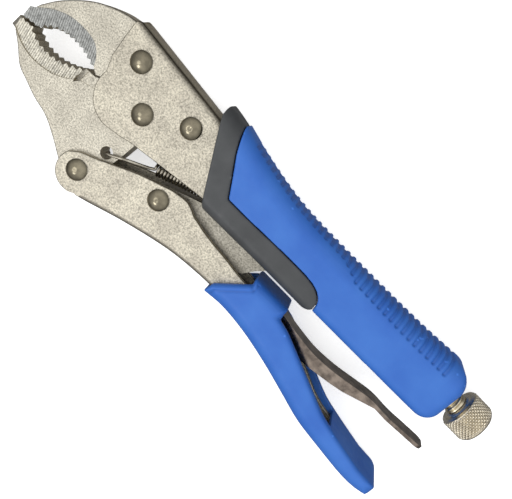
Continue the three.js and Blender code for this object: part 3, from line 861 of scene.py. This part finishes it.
def thread(x_low, x_high):
    """Rings along the screw whose radius follows a rounded thread, fading at both ends."""
    per_pitch = 10
    steps = int((x_high - x_low) / THREAD_PITCH * per_pitch)
    rings = []
    for i in range(steps + 1):
        x = x_low + (x_high - x_low) * i / steps
        fade = min(1, (x - x_low) / THREAD_PITCH, (x_high - x) / THREAD_PITCH)
        ring = []
        for k in range(SEGMENTS):
            turn = x / THREAD_PITCH - k / SEGMENTS
            wave = 0.5 - 0.5 * math.cos(2 * math.pi * turn)
            radius = SCREW_RADIUS - THREAD_DEPTH * fade * wave**1.4
            ring.append(on_screw(radius, 2 * math.pi * k / SEGMENTS, x))
        rings.append(ring)
    return rings


def adjusting_screw():
    shoulder = KNOB_X - PIN_GAP
    end = KNOB_X + KNOB_LENGTH - 3.2
    rings = [hoop(SCREW_RADIUS - 1.5, SCREW_TIP_X), hoop(SCREW_RADIUS - 0.1, SCREW_TIP_X + 1.4)]
    rings += thread(SCREW_TIP_X + 1.6, shoulder)
    rings += [hoop(SHANK_RADIUS, shoulder + 0.02), hoop(SHANK_RADIUS, end)]
    return from_grid("screw", rings)


KNURL_PITCH = 1.75
KNURL_DEPTH = 0.6
KNURL_ROWS = 84
KNURL_FADE = 0.6


def adjusting_knob():
    """A knurled cylinder with a conical front face, a chamfered back and a bore for the shank."""
    starts = round(2 * math.pi * KNOB_RADIUS / KNURL_PITCH)
    around = 12 * starts
    end = KNOB_X + KNOB_LENGTH
    front, back = KNOB_X + 1.3, end - 1.5
    bore = SHANK_RADIUS + PIN_GAP
    face = [(bore, KNOB_X), (5.3, KNOB_X), (6.3, KNOB_X + 0.5), (6.6, KNOB_X + 0.9),
            (7.6, KNOB_X + 0.95), (KNOB_RADIUS - 0.5, front - 0.1)]
    tail = [(KNOB_RADIUS - 0.5, back + 0.1), (KNOB_RADIUS - 1.3, end - 0.5),
            (KNOB_RADIUS - 2, end - 0.2), (3, end - 0.15), (0.4, end - 0.15),
            (0.4, end - 2.9), (bore, end - 2.9)]
    knurled = []
    for i in range(KNURL_ROWS + 1):
        x = front + (back - front) * i / KNURL_ROWS
        lean = (x - front) / (2 * math.pi * KNOB_RADIUS)
        fade = min(1, (x - front) / KNURL_FADE, (back - x) / KNURL_FADE)
        ring = []
        for k in range(around):
            one = abs(((k / around + lean) * starts) % 1 - 0.5) * 2
            two = abs(((k / around - lean) * starts) % 1 - 0.5) * 2
            radius = KNOB_RADIUS - KNURL_DEPTH * (1 - min(1, 1.5 * min(one, two)) * fade)
            ring.append(on_screw(radius, 2 * math.pi * k / around, x))
        knurled.append(ring)
    rings = [hoop(r, x, around) for r, x in face] + knurled + [hoop(r, x, around) for r, x in tail]
    return from_grid("knob", rings, looped=True)


place(adjusting_screw(), "adjusting_screw_threaded", "screw", "adjusting_screw", "bright_nickel",
      THREAD_NICKEL, crisp=60)
place(adjusting_knob(), "adjusting_knob_knurled", "knob", "adjusting_knob", "knurled_nickel",
      KNOB_NICKEL, crisp=60)


# ------------------------------------------------------------------ return spring
COIL_TURNS = 19
COIL_STEPS = 20
WIRE_SIDES = 10


def wire(name, route):
    """Round wire along a run of points, its section carried without twisting."""
    places = np.array(route, float)
    ahead = np.gradient(places, axis=0)
    ahead /= np.linalg.norm(ahead, axis=1)[:, None]
    side = np.cross(ahead[0], (0.3, 0.2, 1))
    rings = []
    for p, t in zip(places, ahead):
        side = side - t * (side @ t)
        side /= np.linalg.norm(side)
        other = np.cross(t, side)
        ring = []
        for k in range(WIRE_SIDES):
            a = 2 * math.pi * k / WIRE_SIDES
            ring.append(tuple(p + WIRE_RADIUS * (math.cos(a) * side + math.sin(a) * other)))
        rings.append(ring)
    return from_grid(name, rings)


def return_spring():
    start, end = np.array((17.2, -13.4, 0)), np.array((43, -3.8, 0))
    length = np.linalg.norm(end - start)
    axis = (end - start) / length
    up = np.array((0, 0, 1))
    side = np.cross(up, axis)
    steps = COIL_TURNS * COIL_STEPS
    coil = []
    for i in range(steps + 1):
        a = 2 * math.pi * i / COIL_STEPS
        along = start + axis * length * i / steps
        coil.append(along + COIL_RADIUS * (math.cos(a) * up + math.sin(a) * side))
    over = JAW_HALF + PIN_GAP + WIRE_RADIUS
    hook_x, hook_y = SPRING_HOOK
    leg = smooth([(hook_x, hook_y, 2.4), (hook_x + 0.2, hook_y, over - 1.2),
                  (hook_x + 2, hook_y + 0.8, over), (hook_x + 8, hook_y + 4.2, over),
                  (start[0] - 2.6, start[1] - 1.4, 3.6), tuple(coil[0])], 60)
    pin_x, pin_y = SPRING_ANCHOR
    clear = 1.5 + 2 * PIN_GAP + WIRE_RADIUS
    loop = smooth([tuple(coil[-1]), (end[0] + 2.2, end[1] + 0.6, 1), (end[0] + 5, end[1] + 0.2, 0),
                   (pin_x, pin_y - clear, 0), (pin_x + clear, pin_y, 0), (pin_x, pin_y + clear, 0),
                   (pin_x - clear, pin_y + 0.8, 0)], 70)
    return wire("spring", leg[:-1] + [tuple(p) for p in coil] + loop[1:])


spring = place(return_spring(), "return_spring_wound", None, "return_spring", "spring_steel",
               SPRING_STEEL)
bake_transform(spring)


# ------------------------------------------------------------------ grips
SPINE = [(31, 26.2), (40, 23.9), (48.6, 22.1), (56.3, 20.7), (67, 19.3), (80, 18.7), (120, 18.9),
         (140, 19.5), (150, 20.2), (165, 20)]
VOXEL = 0.42
SLOT_FIRST = 41
SLOT_LAST = 154
SLOT_PITCH = 3.3
SLOT_HALF = 0.85
SLOT_DEPTH = 0.75
SLOT_WALL = 0.7
SPINE_FLAT = 3.5
SPINE_ROUND = 8


def eased(share):
    """A share from 0 to 1, easing in and out."""
    return share * share * (3 - 2 * share)


def upper_grip():
    """The moulding, with a row of round-ended slots pressed into it across the spine."""
    obj = remesh(copy_node("upper_grip"), VOXEL, 12)
    co, normal = points_of(obj), normals_of(obj)
    x, y, height = co[:, 0], co[:, 1], np.abs(co[:, 2])
    spine = np.array(smooth(SPINE, 120))
    top = np.interp(x, spine[:, 0], spine[:, 1])
    slope = np.interp(x, spine[:, 0], np.gradient(spine[:, 1], spine[:, 0]))
    along = x + slope * (y - top)
    slot = np.round((along - SLOT_FIRST) / SLOT_PITCH)
    beside = np.abs(along - SLOT_FIRST - slot * SLOT_PITCH)
    lean = np.arctan2(height - SPINE_FLAT, y - top + SPINE_ROUND)
    girth = (SPINE_FLAT + SPINE_ROUND * np.clip(lean, 0, math.pi / 2)
             + np.clip(top - SPINE_ROUND - y, 0, None))
    reach = np.interp(along, [SLOT_FIRST, 95, 104, SLOT_LAST], [6.4, 8.4, 12.6, 14.6])
    past = np.clip(girth - reach + SLOT_HALF, 0, None)
    press = eased(np.clip(0.5 - (np.hypot(past, beside) - SLOT_HALF) / SLOT_WALL, 0, 1))
    inside = (slot >= 0) & (SLOT_FIRST + slot * SLOT_PITCH <= SLOT_LAST)
    outer = (height > 8.2) | (normal[:, 1] > 0.1) & (y > top - 6)
    move_points(obj, co - normal * (SLOT_DEPTH * press * inside * outer)[:, None])
    return obj


place(upper_grip(), "upper_grip_moulding", "upper_handle", "upper_grip", "blue_grip", BLUE)
place(remesh(copy_node("upper_grip_band"), VOXEL, 6), "upper_grip_band_moulding", "upper_handle",
      "upper_grip_band", "black_grip", BLACK)


MOUTH = [(65, -40), (66, -27.6), (76.9, -16.4), (76.9, -12)]
LIP_WIDTH = 2.4
GROOVE_HALF = 1.2
GROOVE_DEPTH = 0.45


def lower_grip():
    """The moulding, with a shallow groove behind the lip at its mouth."""
    obj = remesh(copy_node("lower_grip"), VOXEL, 7)
    co, normal = points_of(obj), normals_of(obj)
    mouth = walk(MOUTH, 200)[0]
    behind = np.min(np.linalg.norm(co[:, None, :2] - mouth[None], axis=2), axis=1)
    groove = eased(np.clip(1 - np.abs(behind - LIP_WIDTH) / GROOVE_HALF, 0, 1))
    outer = np.abs(co[:, 2]) > 8.6
    move_points(obj, co - normal * (GROOVE_DEPTH * groove * outer)[:, None])
    return obj


place(lower_grip(), "lower_grip_moulding", "lower_handle", "lower_grip", "blue_grip", BLUE)

# ------------------------------------------------------------------ carried-over pieces
for node, material in (("release_lever_pin", CHROME), ("spring_anchor_pin", CHROME),
                       ("screw_bush", STEEL)):
    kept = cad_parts[node]
    kept.data.materials.clear()
    kept.data.materials.append(material)


# ------------------------------------------------------------------ floor, light and camera
def area_light(name, place_m, aim, size, power):
    data = bpy.data.lights.new(name, "AREA")
    data.shape = "DISK"
    data.size = size
    data.energy = power
    light = bpy.data.objects.new(name, data)
    light.location = place_m
    light.rotation_mode = "QUATERNION"
    light.rotation_quaternion = (Vector(aim) - Vector(place_m)).to_track_quat("-Z", "Y")
    bpy.context.scene.collection.objects.link(light)


def pale_surface(name, white, glow):
    """Plain paper that also glows, so that shadows on it stay light."""
    paper = Finish(name, 0.0, Roughness=0.9)
    low, high = (white - 0.01,) * 3 + (1,), (white + 0.01,) * 3 + (1,)
    paper.colour(paper.ramp(paper.noise(40, 2), (0.3, low), (0.7, high)))
    paper.shader.inputs["Emission Color"].default_value = WHITE
    paper.shader.inputs["Emission Strength"].default_value = glow
    return paper.material


def stage_piece(obj, material):
    """A surface that neither lights the object nor shows in its reflections."""
    obj.data.materials.append(material)
    obj.visible_diffuse = False
    obj.visible_glossy = False


middle = (cad_box[0] + cad_box[1]) / 2
bm = bmesh.new()
bmesh.ops.create_grid(bm, x_segments=8, y_segments=8, size=4)
floor = new_object("floor", bm)
floor.location = (middle.x, middle.y, cad_box[0].z - 0.0002)
stage_piece(floor, pale_surface("pale_floor", 0.93, 0.62))

bm = bmesh.new()
bmesh.ops.create_uvsphere(bm, u_segments=48, v_segments=24, radius=3.5)
backdrop = new_object("backdrop", bm)
backdrop.visible_shadow = False
stage_piece(backdrop, pale_surface("pale_backdrop", 0.5, 0.8))


def studio_world():
    """Light that falls off from overhead to a dim horizon."""
    world = bpy.data.worlds.new("studio")
    world.use_nodes = True
    nodes, links = world.node_tree.nodes, world.node_tree.links
    split = nodes.new("ShaderNodeSeparateXYZ")
    links.new(nodes.new("ShaderNodeTexCoord").outputs["Generated"], split.inputs[0])
    fall = nodes.new("ShaderNodeMapRange")
    fall.interpolation_type = "SMOOTHSTEP"
    fall.inputs["From Min"].default_value = -0.1
    fall.inputs["From Max"].default_value = 0.95
    fall.inputs["To Min"].default_value = 0.2
    fall.inputs["To Max"].default_value = 1.05
    links.new(split.outputs["Z"], fall.inputs["Value"])
    links.new(fall.outputs["Result"], nodes["Background"].inputs["Strength"])
    nodes["Background"].inputs["Color"].default_value = WHITE
    return world


bpy.context.scene.world = studio_world()
bpy.context.scene.view_settings.view_transform = "Standard"
area_light("key", middle + Vector((-0.1, -0.62, 0.78)), middle, 0.3, 1.0)
area_light("window", ORIGIN + Vector((-0.242, -0.24, 0.78)), ORIGIN, 0.35, 0.5)

EYE = ORIGIN + Vector((57.65, 70.27, 272)) * MM
AIM = ORIGIN + Vector((68.5, -7.5, 0)) * MM
ACROSS = Vector((0.7003, 0.6932, -0.1702))
camera = bpy.data.objects.new("camera", bpy.data.cameras.new("camera"))
bpy.context.scene.collection.objects.link(camera)
back = (EYE - AIM).normalized()
right = (ACROSS - back * ACROSS.dot(back)).normalized()
turn = Matrix((right, back.cross(right), back)).transposed().to_4x4()
camera.matrix_world = Matrix.Translation(EYE) @ turn
camera.data.sensor_width = 36
camera.data.lens = 49.22
camera.data.clip_start = 0.01
camera.data.clip_end = 10
bpy.context.scene.camera = camera
